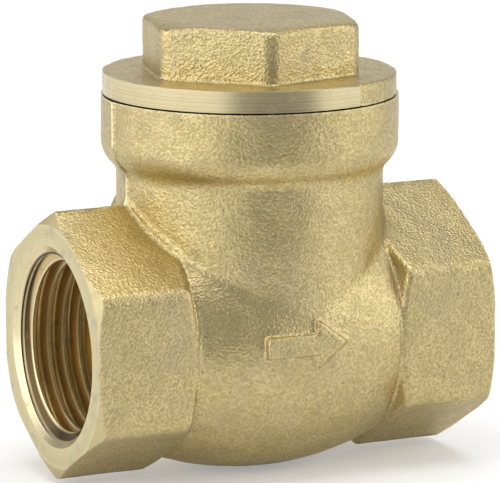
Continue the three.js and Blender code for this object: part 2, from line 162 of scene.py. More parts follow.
# ---- Distance fields ----
WAVES = 9  # waves in one ripple
SPREAD = (0.6, 1.4)  # how much finer or coarser a wave may be than its ripple
SETTLE_PASSES = 3
LEAST_SLOPE = 0.1  # keeps a move finite where the field is nearly flat


def rounded_join(a, b, radius):
    """Union of two fields with a round fillet."""
    u = np.maximum(radius - a, 0)
    v = np.maximum(radius - b, 0)
    return np.maximum(radius, np.minimum(a, b)) - np.sqrt(u * u + v * v)


def rounded_meet(a, b, radius):
    """Intersection of two fields with a round edge."""
    return -rounded_join(-a, -b, radius)


def hexagon_field(u, v, flats, radius):
    """A hexagon with corners on the v axis."""
    half = flats / 2
    sides = [abs(u) - half]
    sides += [abs(u * 0.5 + v * s) - half for s in (math.sqrt(0.75), -math.sqrt(0.75))]
    return rounded_meet(rounded_meet(sides[0], sides[1], radius), sides[2], radius)


def cone_field(radius, along, start, end):
    """Inside of a cone through two (radius, along) points; inside is to the left of start to end."""
    du, dv = end[0] - start[0], end[1] - start[1]
    length = math.hypot(du, dv)
    return ((radius - start[0]) * dv - (along - start[1]) * du) / length


def polygon_field(u, v, corners):
    """Signed distance to a polygon in the plane."""
    nearest = np.full(np.broadcast(u, v).shape, np.inf)
    inside = np.zeros(nearest.shape, bool)
    for (u0, v0), (u1, v1) in zip(corners, corners[1:] + corners[:1]):
        du, dv = u1 - u0, v1 - v0
        share = np.clip(((u - u0) * du + (v - v0) * dv) / (du * du + dv * dv), 0, 1)
        nearest = np.minimum(nearest, np.hypot(u - u0 - share * du, v - v0 - share * dv))
        above = (v0 <= v) != (v1 <= v)
        if v1 != v0:
            inside ^= above & (u < u0 + (v - v0) * du / dv)
    return np.where(inside, -nearest, nearest)


def ripple(x, y, z, size, seed):
    """A smooth, seeded unevenness of about unit height, with bumps about size across."""
    random = np.random.default_rng(seed)
    total = 0
    for _ in range(WAVES):
        direction = random.normal(size=3)
        direction *= math.pi / (size * np.linalg.norm(direction)) * random.uniform(*SPREAD)
        phase = random.uniform(0, 6.3)
        total = total + np.sin(direction[0] * x + direction[1] * y + direction[2] * z + phase)
    return total / math.sqrt(WAVES / 2)


def unevenness(x, y, z, layers):
    """The sum of ripples given as (height, size, seed)."""
    return sum(height * ripple(x, y, z, size, seed) for height, size, seed in layers)


def surface_net(field, low, high, step):
    """The zero surface of a field, as vertices and outward quads."""
    low = np.array(low, float)
    counts = [int(math.ceil((b - a) / step)) + 1 for a, b in zip(low, high)]
    axes = [a + step * np.arange(n) for a, n in zip(low, counts)]
    values = field(*np.meshgrid(*axes, indexing="ij", sparse=True))
    inside = values < 0

    corners = [(i, j, k) for i in (0, 1) for j in (0, 1) for k in (0, 1)]
    cell_shape = [n - 1 for n in counts]
    filled = sum(inside[i:i + cell_shape[0], j:j + cell_shape[1], k:k + cell_shape[2]].astype(np.int8)
                 for i, j, k in corners)
    cells = np.argwhere((filled > 0) & (filled < 8))
    index = np.full(cell_shape, -1, np.int64)
    index[tuple(cells.T)] = np.arange(len(cells))

    total = np.zeros((len(cells), 3))
    crossings = np.zeros(len(cells))
    for a in corners:
        for axis in range(3):
            if a[axis]:
                continue
            b = tuple(1 if n == axis else a[n] for n in range(3))
            va = values[tuple((cells + a).T)]
            vb = values[tuple((cells + b).T)]
            hit = (va < 0) != (vb < 0)
            share = np.where(hit, va / np.where(hit, va - vb, 1), 0)
            point = np.array(a, float) + share[:, None] * (np.array(b) - np.array(a))
            total += np.where(hit[:, None], point, 0)
            crossings += hit
    points = low + (cells + total / crossings[:, None]) * step
    points = settled(field, points, step)

    quads = []
    for axis in range(3):
        u, v = (axis + 1) % 3, (axis + 2) % 3
        ahead = [slice(None)] * 3
        behind = [slice(None)] * 3
        ahead[axis], behind[axis] = slice(1, None), slice(None, -1)
        start, end = inside[tuple(behind)], inside[tuple(ahead)]
        edges = np.argwhere(start != end)
        edges = edges[(edges[:, u] > 0) & (edges[:, v] > 0)]
        edges = edges[(edges[:, u] < cell_shape[u]) & (edges[:, v] < cell_shape[v])]
        around = []
        for du, dv in ((-1, -1), (0, -1), (0, 0), (-1, 0)):
            offset = np.zeros(3, int)
            offset[u], offset[v] = du, dv
            around.append(index[tuple((edges + offset).T)])
        ring = np.stack(around, 1)
        outward = start[tuple(edges.T)]
        quads.append(np.where(outward[:, None], ring, ring[:, ::-1]))
    return points, np.concatenate(quads)


def settled(field, points, step):
    """Moves points along the field's slope until they lie on its zero surface."""
    reach = step * 0.25
    for _ in range(SETTLE_PASSES):
        value = field(*points.T)
        slope = np.stack([
            field(*(points + reach * unit).T) - field(*(points - reach * unit).T) for unit in np.eye(3)
        ], 1) / (2 * reach)
        size = np.maximum((slope * slope).sum(1), LEAST_SLOPE)
        move = -(value / size)[:, None] * slope
        length = np.linalg.norm(move, axis=1, keepdims=True)
        points = points + move * np.minimum(1, step * 0.5 / np.maximum(length, 1e-9))
    return points


# ---- Mesh shapes ----
UPRIGHT = {
    "x": Matrix.Rotation(math.pi / 2, 4, "Y"),
    "y": Matrix.Rotation(-math.pi / 2, 4, "X"),
    "z": Matrix.Identity(4),
}


def new_object(name, data):
    item = bpy.data.objects.new(name, data)
    bpy.context.scene.collection.objects.link(item)
    return item


def plain_list(rows):
    return rows.tolist() if isinstance(rows, np.ndarray) else rows


def shape(vertices, faces, slot=SKIN):
    """A loose Blender object from vertices and faces, turned right side out."""
    mesh = bpy.data.meshes.new("shape")
    mesh.from_pydata(plain_list(vertices), [], plain_list(faces))
    item = new_object("shape", mesh)
    if signed_volume(mesh) < 0:
        mesh.flip_normals()
    for _ in range(SLOTS):
        mesh.materials.append(None)
    mesh.polygons.foreach_set("material_index", [slot] * len(mesh.polygons))
    return item


def column(items, name, kind=np.int32, width=1):
    """One property of every vertex, loop or face of a mesh."""
    values = np.zeros(len(items) * width, kind)
    items.foreach_get(name, values)
    return values.reshape(-1, width) if width > 1 else values


def signed_volume(mesh):
    mesh.calc_loop_triangles()
    points = column(mesh.vertices, "co", float, 3)
    a, b, c = (points[corner] for corner in column(mesh.loop_triangles, "vertices", width=3).T)
    return float((a * np.cross(b, c)).sum() / 6)


def lathe(axis, profile, slot=TURNED, segments=128):
    """A solid turned about an axis from (radius, along) points; it starts and ends on the axis or closes."""
    closed = profile[0][0] > 0
    angles = np.arange(segments) * 2 * math.pi / segments
    vertices, rows = [], []
    for radius, along in profile:
        if radius == 0:
            rows.append([len(vertices)] * segments)
            vertices.append((0, 0, along))
            continue
        rows.append(list(range(len(vertices), len(vertices) + segments)))
        vertices += [(radius * math.cos(t), radius * math.sin(t), along) for t in angles]
    faces = []
    pairs = list(zip(rows, rows[1:])) + ([(rows[-1], rows[0])] if closed else [])
    for low, high in pairs:
        for n in range(segments):
            m = (n + 1) % segments
            face = [low[n], low[m], high[m], high[n]]
            faces.append([v for k, v in enumerate(face) if v != face[k - 1]])
    item = shape(vertices, [face for face in faces if len(face) > 2], slot)
    item.data.transform(UPRIGHT[axis])
    return item


def rod(axis, radius, start, end, slot=TURNED, segments=96):
    return lathe(axis, [(0, start), (radius, start), (radius, end), (0, end)], slot, segments)


def block(low, high, slot=TURNED):
    (x0, y0, z0), (x1, y1, z1) = low, high
    vertices = [(x, y, z) for x in (x0, x1) for y in (y0, y1) for z in (z0, z1)]
    faces = [(0, 1, 3, 2), (4, 6, 7, 5), (0, 4, 5, 1), (2, 3, 7, 6), (0, 2, 6, 4), (1, 5, 7, 3)]
    return shape(vertices, faces, slot)


def moved(item, matrix):
    item.data.transform(matrix)
    return item


def shifted(item, x=0, y=0, z=0):
    return moved(item, Matrix.Translation((x, y, z)))


def combine(target, tool, operation):
    """Applies a boolean with a tool shape, which is used up."""
    modifier = target.modifiers.new("combine", "BOOLEAN")
    modifier.operation = operation
    modifier.solver = "MANIFOLD"
    modifier.object = tool
    graph = bpy.context.evaluated_depsgraph_get()
    made = bpy.data.meshes.new_from_object(target.evaluated_get(graph), depsgraph=graph)
    target.modifiers.remove(modifier)
    old, target.data = target.data, made
    bpy.data.meshes.remove(old)
    bpy.data.objects.remove(tool)
    return target


def join(target, *tools):
    for tool in tools:
        combine(target, tool, "UNION")
    return target


def cut(target, *tools):
    for tool in tools:
        combine(target, tool, "DIFFERENCE")
    return target


def keep(target, *tools):
    for tool in tools:
        combine(target, tool, "INTERSECT")
    return target


FADE = 2.0  # how fast a fading thread end gains its height, in heights per turn
CREST_START = 0.12  # how far below a thread's top its crest starts to round over
CREST_ROUND = [(0.04, 0.85), (0, 0.4)]  # how far below the top and the share of the crest's width there


def thread_ridge(form, start, turns, fade_foot=False, fade_head=False, slot=TURNED, steps=96):
    """A right-hand helical ridge about Z with straight flanks and a round crest; it can fade at its ends."""
    slope = math.tan(math.radians(form.flank))
    depth = form.major - form.inner
    crest = form.crest
    side = [(0, crest + depth * slope), (depth - CREST_START, crest + CREST_START * slope)]
    side += [(depth - below, crest * share) for below, share in CREST_ROUND]
    section = [(r, -w) for r, w in side] + [(r, w) for r, w in reversed(side)]
    least = (form.minor - form.inner) / depth / 2
    count = int(round(turns * steps))
    vertices = []
    for n in range(count + 1):
        turn = turns * n / count
        foot = min(1, least + FADE * turn) if fade_foot else 1
        head = min(1, least + FADE * (turns - turn)) if fade_head else 1
        angle = 2 * math.pi * turn
        for r, w in section:
            radius = form.inner + r * min(foot, head)
            along = start + form.pitch * turn + w
            vertices.append((radius * math.cos(angle), radius * math.sin(angle), along))
    size = len(section)
    faces = [list(range(size)), list(range(count * size, (count + 1) * size))[::-1]]
    for n in range(count):
        for k in range(size):
            m = (k + 1) % size
            faces.append([n * size + m, n * size + k, (n + 1) * size + k, (n + 1) * size + m])
    return shape(vertices, faces, slot)


def sculpt(field, low, high, step):
    return shape(*surface_net(field, low, high, step))


# Faces meeting at more than this show a crisp edge.
MACHINED_EDGE, PLAIN_EDGE, FORGED_EDGE = (math.radians(angle) for angle in (14, 20, 70))


def mark_sharp_edges(mesh, skin_edge):
    """Marks edges where the surface kind changes, or where faces meet at more than their kind's angle."""
    edge_of = column(mesh.loops, "edge_index")
    sizes = column(mesh.polygons, "loop_total")
    face_of = np.repeat(np.arange(len(sizes)), sizes)[np.argsort(edge_of, kind="stable")]
    one, other = face_of[0::2], face_of[1::2]
    normals = column(mesh.polygons, "normal", float, 3)
    angle = np.arccos(np.clip((normals[one] * normals[other]).sum(1), -1, 1))
    slots = column(mesh.polygons, "material_index")
    limit = np.where(slots[one] == SKIN, skin_edge, MACHINED_EDGE)
    sharp = (slots[one] != slots[other]) | (angle > limit)
    mesh.attributes.new("sharp_edge", "BOOLEAN", "EDGE").data.foreach_set("value", sharp)


def finished(item, name, place, body, slot, materials, stands_for):
    """Names a shape, gives it its materials and shading, and puts it in its place on its body."""
    mesh = item.data
    mesh.transform(Matrix.Scale(MM, 4))
    mesh.name = item.name = name
    while len(mesh.materials) > len(materials):
        mesh.materials.pop()
    for index, material in enumerate(materials):
        mesh.materials[index] = material
    mesh.polygons.foreach_set("use_smooth", [True] * len(mesh.polygons))
    mark_sharp_edges(mesh, FORGED_EDGE if slot == "forged_brass" else PLAIN_EDGE)
    item.matrix_world = place
    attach(item, body)
    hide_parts(stands_for)


# ---- Valve body ----
ARROW = Sizes(tail=-5.2, tip=4.4, barb=0.6, half=2.7, shaft=1.1, height=1.0, face=15.75)
ARROW_SWELL = 0.1
FLASH = Sizes(height=0.28, half=0.22, fade=(-10, -4))  # ridge left by the dies in the plane of symmetry
LIP = Sizes(height=0.18, offset=0.5, half=0.22)  # where the neck's die ends above the hexagons
ROUND = Sizes(heel=0.5, end=0.35, barrel=0.3, collar=0.9, boss=0.4, mark=0.2)
FILLET = Sizes(barrel=0.3, collar=0.35, neck=0.35, boss=0.8, mark=0.12)
BODY_UNEVEN = [(0.012, 1.6, 2), (0.012, 3.2, 3), (0.015, 7, 4)]
SKIN_STEP = 0.31
ALLOWANCE = 0.07  # keeps the uneven skin inside the nominal sizes
FACING_STOCK = 0.5  # what the forging has to spare where its ends and collar are faced


def arrow_field(x, z):
    shaft, barb = ARROW.shaft, ARROW.barb
    lower = [(ARROW.tail, -shaft), (barb, -shaft), (barb, -ARROW.half)]
    upper = [(u, -v) for u, v in reversed(lower)]
    return polygon_field(x, z - ARROW.height, lower + [(ARROW.tip, 0)] + upper) - ARROW_SWELL


def body_field(x, y, z):
    """The forging before machining, with the pipe axis at height 0."""
    along = abs(x)
    radius = np.hypot(y, z)
    around = np.hypot(x, y)

    corner = HEX_FLATS / math.sqrt(3)
    flats = hexagon_field(y, z, HEX_FLATS, HEX_ROUND)
    heel_start, heel_end = HEEL.start, HEEL.start + HEEL.length
    heel = cone_field(radius, along, (HEX_FLATS / 2, heel_start), (corner, heel_end))
    ends = rounded_meet(flats, heel, ROUND.heel)
    ends = rounded_meet(ends, along - HALF_LENGTH - FACING_STOCK, ROUND.end)

    barrel = radius - (BELLY_RADIUS - x * x / (2 * BELLY_ARC))
    barrel = rounded_meet(barrel, along - BARREL_END, ROUND.barrel)
    ridge = LIP.height * np.exp(-(((ends - LIP.offset) / LIP.half) ** 2))
    neck = np.maximum(around - NECK_RADIUS - ridge, -z)
    step = cone_field(around, z, (NECK_RADIUS, COLLAR.foot), (COLLAR.radius, COLLAR.shoulder))
    collar = rounded_meet(around - COLLAR.radius, step, ROUND.collar)
    bonnet = rounded_join(neck, collar, FILLET.collar)
    bonnet = np.maximum(bonnet, z - COLLAR.top - FACING_STOCK)
    boss = np.hypot(x - HINGE_X, z - HINGE_Z) - PLUG_BOSS.radius
    boss = np.maximum(boss, PLUG_BOSS.root - y)
    boss = rounded_meet(boss, y - PLUG_BOSS.face - PLUG_BOSS.stock, ROUND.boss)

    skin = rounded_join(barrel, ends, FILLET.barrel)
    skin = rounded_join(skin, bonnet, FILLET.neck)
    skin = rounded_join(skin, boss, FILLET.boss)
    mark = rounded_meet(arrow_field(x, z), -ARROW.face - y, ROUND.mark)
    skin = rounded_join(skin, np.maximum(mark, y), FILLET.mark)
    seam = FLASH.height * np.exp(-((y / FLASH.half) ** 2)) * np.interp(z, FLASH.fade, (0, 1))
    uneven = unevenness(x, y, z, BODY_UNEVEN)
    return skin - seam - np.clip(uneven, -ALLOWANCE, ALLOWANCE) + ALLOWANCE


def socket():
    """A pipe socket about Z, with its mouth at height 0 and its floor above it."""
    bore = lathe("z", [
        (0, -PAST),
        (SOCKET.mouth + PAST, -PAST),
        (SOCKET.mouth - SOCKET.chamfer, SOCKET.chamfer),
        (PIPE_THREAD.minor, SOCKET.chamfer + SOCKET.lead),
        (PIPE_THREAD.minor, SOCKET.depth),
        (0, SOCKET.depth),
    ], THREADED, segments=144)
    turns = math.ceil(SOCKET.thread / PIPE_THREAD.pitch) + 1
    start = SOCKET.thread - turns * PIPE_THREAD.pitch
    thread = thread_ridge(PIPE_THREAD, start, turns, fade_head=True, slot=THREADED)
    return join(bore, moved(thread, Matrix.Rotation(math.radians(SOCKET.start_angle), 4, "Z")))


def barrel_profile(radius, arc, half, steps=16):
    """The outline of a barrel: its widest radius, the radius of its bulge and its half length."""
    points = [(0, -half)]
    for n in range(steps + 1):
        x = half * (2 * n / steps - 1)
        points.append((radius - arc + math.sqrt(arc * arc - x * x), x))
    return points + [(0, half)]


def about_hinge(item):
    """Moves a shape made about the hinge, as if the clapper hung straight down, to its place at the seat."""
    return moved(item, Matrix.Translation((HINGE_X, 0, HINGE_Z)) @ Matrix.Rotation(-TILT, 4, "Y"))


def seat_boss():
    face = SEAT.face
    boss = lathe("x", [
        (0, SEAT.back),
        (SEAT.base, SEAT.back),
        (SEAT.base, face - SEAT.height),
        (SEAT.lip, face - SEAT.height / 2),
        (SEAT.lip, face - SEAT.edge),
        (SEAT.lip - SEAT.edge, face),
        (0, face),
    ], FACED)
    boss = about_hinge(shifted(boss, z=-ARM_LENGTH))
    wide = CHAMBER.radius
    roof = CHAMBER.floor - SEAT.roof_gap
    return keep(boss, block((-CHAMBER.inlet - BLANK, -wide, -wide), (face, wide, roof)))


def lug(side):
    reach = rod("y", LUG.radius, side * LUG.inner, side * LUG.outer, segments=64)
    return shifted(reach, HINGE_X, 0, HINGE_Z)


def chamber():
    radius, foot, floor = CHAMBER.radius, CHAMBER.foot, CHAMBER.floor
    wide = radius + PAST
    slab = block((-CHAMBER.inlet, -wide, foot - PAST), (CHAMBER.outlet, wide, floor + PAST))
    middle = keep(rod("z", radius, foot, floor + INTO), slab)
    belly = lathe("x", barrel_profile(**BELLY_SPACE, half=CHAMBER.inlet))
    space = join(rod("z", radius, floor, COLLAR.foot), middle, belly)
    return cut(space, seat_boss(), lug(1), lug(-1))


def bonnet_mouth():
    top = COLLAR.top
    ring_seat = top - RING_SEAT.depth
    minor = BONNET_FEMALE.minor
    bore = lathe("z", [
        (0, MOUTH.foot),
        (minor - MOUTH.chamfer, MOUTH.foot),
        (minor, MOUTH.foot + MOUTH.chamfer),
        (minor, ring_seat),
        (RING_SEAT.radius, ring_seat),
        (RING_SEAT.radius, top - MOUTH.edge),
        (RING_SEAT.radius + 2 * MOUTH.edge, top + MOUTH.edge),
        (0, top + MOUTH.edge),
    ], segments=144)
    start = BONNET_START - BONNET_FEMALE.pitch
    thread = thread_ridge(BONNET_FEMALE, start, MOUTH.turns, fade_foot=True)
    return join(bore, keep(thread, rod("z", RING_SEAT.radius, MOUTH.foot - BLANK, top)))


def end_trim():
    """What facing the hexagon ends takes away at the +X end."""
    face = HALF_LENGTH
    corner = HEX_FLATS / math.sqrt(3)
    slope = HEX_FACE.bevel / (corner - HEX_FACE.radius)
    outer = corner + BLANK
    return lathe("x", [
        (0, face),
        (HEX_FACE.radius, face),
        (outer, face - slope * (outer - HEX_FACE.radius)),
        (outer, face + BLANK),
        (0, face + BLANK),
    ], FACED, segments=192)


def collar_trim():
    """What facing the collar takes away."""
    return rod("z", COLLAR.radius + BLANK, COLLAR.top, COLLAR.top + BLANK, segments=64)


def drillings():
    """The holes for the hinge pin and its plug, and the spot face under the plug's head."""
    face = PLUG_BOSS.face
    holes = [
        rod("y", PIN_HOLE.radius, PIN_HOLE.front, face, segments=48),
        rod("y", PLUG_HOLE.radius, PLUG_HOLE.foot, face + PAST, segments=64),
        rod("y", PLUG_BOSS.spot_face, face, face + BLANK),
    ]
    return [shifted(hole, HINGE_X, 0, HINGE_Z) for hole in holes]


def valve_body():
    low = (-HALF_LENGTH - MARGIN, -COLLAR.radius - MARGIN, -BELLY_RADIUS - MARGIN)
    high = (HALF_LENGTH + MARGIN, COLLAR.radius + MARGIN, COLLAR.top + MARGIN)
    body = sculpt(body_field, low, high, SKIN_STEP)
    half_turn = Matrix.Rotation(math.pi, 4, "Z")
    into_x = Matrix.Translation((-HALF_LENGTH, 0, 0)) @ Matrix.Rotation(math.pi / 2, 4, "Y")
    port = rod("x", PORT.radius, SEAT.back - PORT.reach, 0, FACED)
    return cut(
        body,
        end_trim(),
        moved(end_trim(), half_turn),
        collar_trim(),
        chamber(),
        moved(socket(), into_x),
        moved(socket(), half_turn @ into_x),
        about_hinge(shifted(port, z=-ARM_LENGTH)),
        rod("x", OUTLET_PORT.radius, OUTLET_PORT.start, HALF_LENGTH - SOCKET.depth + INTO, FACED),
        bonnet_mouth(),
        *drillings(),
    )


# ---- Bonnet cap ----
CAP_ROUND = Sizes(crown=0.5, top=0.35, disc=0.35)
CAP_FILLET = 0.2
CAP_UNEVEN = [(0.014, 1.6, 6), (0.012, 3, 7), (0.01, 7, 8)]
CAP_ALLOWANCE = 0.05
CAP_STEP = 0.25
CAP_MARGIN = 2.0
TURNING_STOCK = 0.3
CAP_SKIN_SHIFT = (-0.37, 0.18)  # the forging sits off centre, so turning leaves skin on one side


def cap_field(x, y, z):
    """The cap's forging down to its flange, before turning."""
    turn = math.radians(CAP_HEX.turn)
    u = x * math.cos(turn) + y * math.sin(turn)
    v = -x * math.sin(turn) + y * math.cos(turn)
    around = np.hypot(x, y)
    inradius = CAP_HEX.flats / 2
    top = CAP_HEX.top - CAP_ALLOWANCE
    crown = cone_field(around, z, (inradius * CROWN.spread, top - CROWN.height), (inradius, top))
    head = hexagon_field(u, v, CAP_HEX.flats - 2 * CAP_ALLOWANCE, CAP_HEX.round)
    head = rounded_meet(head, crown, CAP_ROUND.crown)
    head = rounded_meet(head, z - top, CAP_ROUND.top)
    shoulder = FLANGE.foot + FLANGE.thick
    disc = np.hypot(x - CAP_SKIN_SHIFT[0], y - CAP_SKIN_SHIFT[1]) - FLANGE.radius - TURNING_STOCK
    disc = rounded_meet(disc, z - shoulder, CAP_ROUND.disc)
    skin = rounded_join(head, disc, CAP_FILLET)
    uneven = np.clip(unevenness(x, y, z, CAP_UNEVEN), -CAP_ALLOWANCE, CAP_ALLOWANCE)
    return np.maximum(skin - uneven, FLANGE.foot - PAST - z)


def cap_envelope():
    """What turning leaves: the flange's foot and rim, and all of the head."""
    foot, radius, edge = FLANGE.foot, FLANGE.radius, FLANGE.edge
    above = FLANGE.thick + FLANGE.clear
    return lathe("z", [
        (0, foot),
        (radius - edge, foot),
        (radius, foot + edge),
        (radius, foot + above),
        (radius + BLANK, foot + above),
        (radius + BLANK, CAP_HEX.top + BLANK),
        (0, CAP_HEX.top + BLANK),
    ], segments=192)


def cap_skirt():
    minor = BONNET_MALE.minor
    return lathe("z", [
        (0, SKIRT_FOOT),
        (minor - SKIRT_CHAMFER, SKIRT_FOOT),
        (minor, SKIRT_FOOT + SKIRT_CHAMFER),
        (minor, FLANGE.foot + INTO),
        (0, FLANGE.foot + INTO),
    ], segments=144)


def cap_hollow():
    radius, top = CAP_HOLLOW.radius, CAP_HOLLOW.top
    chamfer, corner = CAP_HOLLOW.chamfer, CAP_HOLLOW.corner
    return lathe("z", [
        (0, SKIRT_FOOT - PAST),
        (radius + chamfer, SKIRT_FOOT - PAST),
        (radius + chamfer, SKIRT_FOOT),
        (radius, SKIRT_FOOT + chamfer),
        (radius, top - corner),
        (radius - corner, top),
        (0, top),
    ])


def bonnet_cap():
    reach = FLANGE.radius + CAP_MARGIN
    low = (-reach, -reach, FLANGE.foot - CAP_MARGIN)
    high = (reach, reach, CAP_HEX.top + PAST)
    cap = keep(sculpt(cap_field, low, high, CAP_STEP), cap_envelope())
    thread = thread_ridge(BONNET_MALE, BONNET_START, BONNET_TURNS, fade_foot=True, fade_head=True)
    return cut(join(cap, cap_skirt(), thread), cap_hollow())


def bonnet_ring():
    section = RING.section
    middle = FLANGE.foot - section - RING.gap
    angles = [2 * math.pi * n / RING.sides for n in range(RING.sides)]
    profile = [(RING.centre + section * math.cos(t), middle + section * math.sin(t)) for t in angles]
    return lathe("z", profile, SKIN, segments=160)


# ---- Hinge pin and its plug, about Y on the hinge axis ----
def hinge_pin():
    radius, edge = PIN.radius, PIN.edge
    front, back = PIN.front, PIN.back
    return lathe("y", [
        (0, front),
        (radius - edge, front),
        (radius, front + edge),
        (radius, back - edge),
        (radius - edge, back),
        (0, back),
    ], SKIN, segments=64)


def screw_thread(form, start, end):
    turns = (end - start) / form.pitch
    return thread_ridge(form, start, turns, fade_foot=True, fade_head=True, slot=SKIN, steps=32)


def pin_plug():
    foot, under, head = PLUG.foot, PLUG.under, PLUG.head
    minor = PLUG_THREAD.minor
    top = under + PLUG.head_thick
    screw = lathe("z", [
        (0, foot),
        (minor - PLUG.chamfer, foot),
        (minor, foot + PLUG.chamfer),
        (minor, under),
        (head - PLUG.edge, under),
        (head, under + PLUG.edge),
        *[(head - inward, top - down) for inward, down in PLUG_DOME],
        (0, top),
    ], SKIN, segments=96)
    join(screw, screw_thread(PLUG_THREAD, foot + INTO, PLUG_THREAD_END))
    half = PLUG_SLOT.wide / 2
    slot = block((-half, -head - PAST, top - PLUG_SLOT.deep), (half, head + PAST, top + PAST), SKIN)
    return moved(cut(screw, slot), UPRIGHT["y"])


def washer(axis, inner, outer, start, end, edge):
    """A flat ring with its edges taken off."""
    return lathe(axis, [
        (inner, start + edge),
        (inner + edge, start),
        (outer - edge, start),
        (outer, start + edge),
        (outer, end - edge),
        (outer - edge, end),
        (inner + edge, end),
        (inner, end - edge),
    ], SKIN, segments=96)


def plug_washer():
    return washer("y", **PLUG_WASHER)


# ---- Clapper, about the hinge, hanging straight down; the disc pieces are about their own axis ----
ARM_ROUND = Sizes(hub=0.25, plate=0.4, heel=0.35)
ARM_FILLET = Sizes(eye=0.3, hub=0.6, heel=0.5)
ARM_UNEVEN = [(0.012, 1.4, 11)]
ARM_ALLOWANCE = 0.02
ARM_ROOM = (-3, -6.5, -15.5), (3.5, 6.5, 7)
ARM_STEP = 0.2
INTO_EYE = 1.0  # how far above the eye's middle the arm's straight sides end


def arm_field(x, y, z):
    hub = rounded_meet(np.hypot(x, z) - HUB.radius, abs(y) - HUB.half, ARM_ROUND.hub)
    eye = np.hypot(y, z + ARM_LENGTH) - ARM.eye
    half, foot = ARM.shoulder, INTO_EYE - ARM_LENGTH
    sides = polygon_field(y, z, [(-half, 0), (half, 0), (half, foot), (-half, foot)])
    middle = (ARM.front + ARM.back) / 2
    plate = rounded_join(eye, sides, ARM_FILLET.eye)
    plate = rounded_meet(plate, abs(x - middle) - (ARM.front - middle), ARM_ROUND.plate)
    heel_middle = HEEL_STOP.tip / 2
    heel = rounded_meet(abs(x) - HEEL_STOP.half_thick, abs(y) - HEEL_STOP.half_wide, ARM_ROUND.heel)
    heel = rounded_meet(heel, abs(z - heel_middle) - heel_middle, ARM_ROUND.heel)
    skin = rounded_join(hub, plate, ARM_FILLET.hub)
    skin = rounded_join(skin, heel, ARM_FILLET.heel)
    return skin - unevenness(x, y, z, ARM_UNEVEN) + ARM_ALLOWANCE


def swing_arm():
    arm = sculpt(arm_field, *ARM_ROOM, ARM_STEP)
    front = ARM.front
    bore = rod("y", HUB.hole, -HUB.half - PAST, HUB.half + PAST, segments=64)
    eye = rod("x", ARM.hole, ARM.back - PAST, front + PAST, segments=80)
    face = rod("x", ARM.spot_face, front - ARM.facing, front + PAST, segments=80)
    return cut(arm, bore, shifted(eye, z=-ARM_LENGTH), shifted(face, z=-ARM_LENGTH))


def disc_holder():
    radius, edge, front, plate = DISC.radius, DISC.edge, DISC.front, DISC.plate
    stud, end = STUD_THREAD.minor, STUD.end
    holder = lathe("z", [
        (0, RECESS.floor),
        (RECESS.radius - RECESS.edge, RECESS.floor),
        (RECESS.radius, RECESS.floor - RECESS.edge),
        (RECESS.radius, front),
        (radius - edge, front),
        (radius, front + edge),
        *[(radius - inward, plate - down) for inward, down in DISC_DOME],
        (ARM.eye + edge, plate),
        (ARM.eye, plate + edge / 2),
        (ARM.eye - edge, DISC.boss),
        (SHANK.radius, DISC.boss),
        (SHANK.radius, SHANK.end),
        (stud, SHANK.end + SHANK.taper),
        (stud, end - STUD.tip),
        (stud - STUD.tip_deep, end),
        (0, end),
    ], SKIN, segments=144)
    join(holder, screw_thread(STUD_THREAD, STUD.start, end - STUD.bare))
    tap = rod("z", SCREW.hole, RECESS.floor - PAST, TAP_END, SKIN, segments=48)
    return moved(cut(holder, tap), UPRIGHT["x"])


def seal_screw():
    under = SEAL_WASHER["start"] - SCREW.gap
    top = under - SCREW.head_thick
    head, end, minor = SCREW.head, SCREW.end, SCREW_THREAD.minor
    screw = lathe("z", [
        (0, top),
        *[(head - inward, top + down) for inward, down in SCREW_DOME],
        (head, under),
        (minor, under),
        (minor, end - SCREW.tip),
        (minor - SCREW.tip, end),
        (0, end),
    ], SKIN, segments=64)
    join(screw, screw_thread(SCREW_THREAD, under + SCREW.bare, end - SCREW.bare))
    half = SCREW_SLOT.wide / 2
    slot = block((-head - PAST, -half, top - PAST), (head + PAST, half, top + SCREW_SLOT.deep), SKIN)
    return moved(cut(screw, slot), UPRIGHT["x"])


def seat_seal():
    return washer("x", **SEAL)


def seal_washer():
    return washer("x", **SEAL_WASHER)


def disc_washer():
    return washer("x", **DISC_WASHER)


def disc_nut():
    flats, back, front = NUT.flats, NUT.back, NUT.front
    corner = flats / math.sqrt(3)
    outer = corner + NUT.crown_out
    prism = rod("z", corner, back, front, SKIN, segments=6)
    crown = lathe("z", [
        (0, back),
        (flats / 2, back),
        (outer, back + NUT.crown),
        (outer, front - NUT.crown),
        (flats / 2, front),
        (0, front),
    ], SKIN, segments=96)
    lead = [(NUT_THREAD.major + outward, deep) for outward, deep in NUT_LEAD]
    lead.append((NUT_THREAD.minor, NUT_LEAD_DEPTH))
    bore = lathe("z", [
        (0, back - PAST),
        *[(radius, back + deep) for radius, deep in lead],
        *[(radius, front - deep) for radius, deep in reversed(lead)],
        (0, front + PAST),
    ], SKIN, segments=64)
    start = STUD.start - NUT_THREAD.pitch
    turns = (front + PAST - start) / NUT_THREAD.pitch
    thread = thread_ridge(NUT_THREAD, start, turns, slot=SKIN, steps=32)
    return moved(cut(keep(prism, crown), join(bore, thread)), UPRIGHT["x"])


# ---- Materials ----
EDGE_TURN = (0.97, 0.8)  # cosine of the turn at which an edge starts to show and shows fully


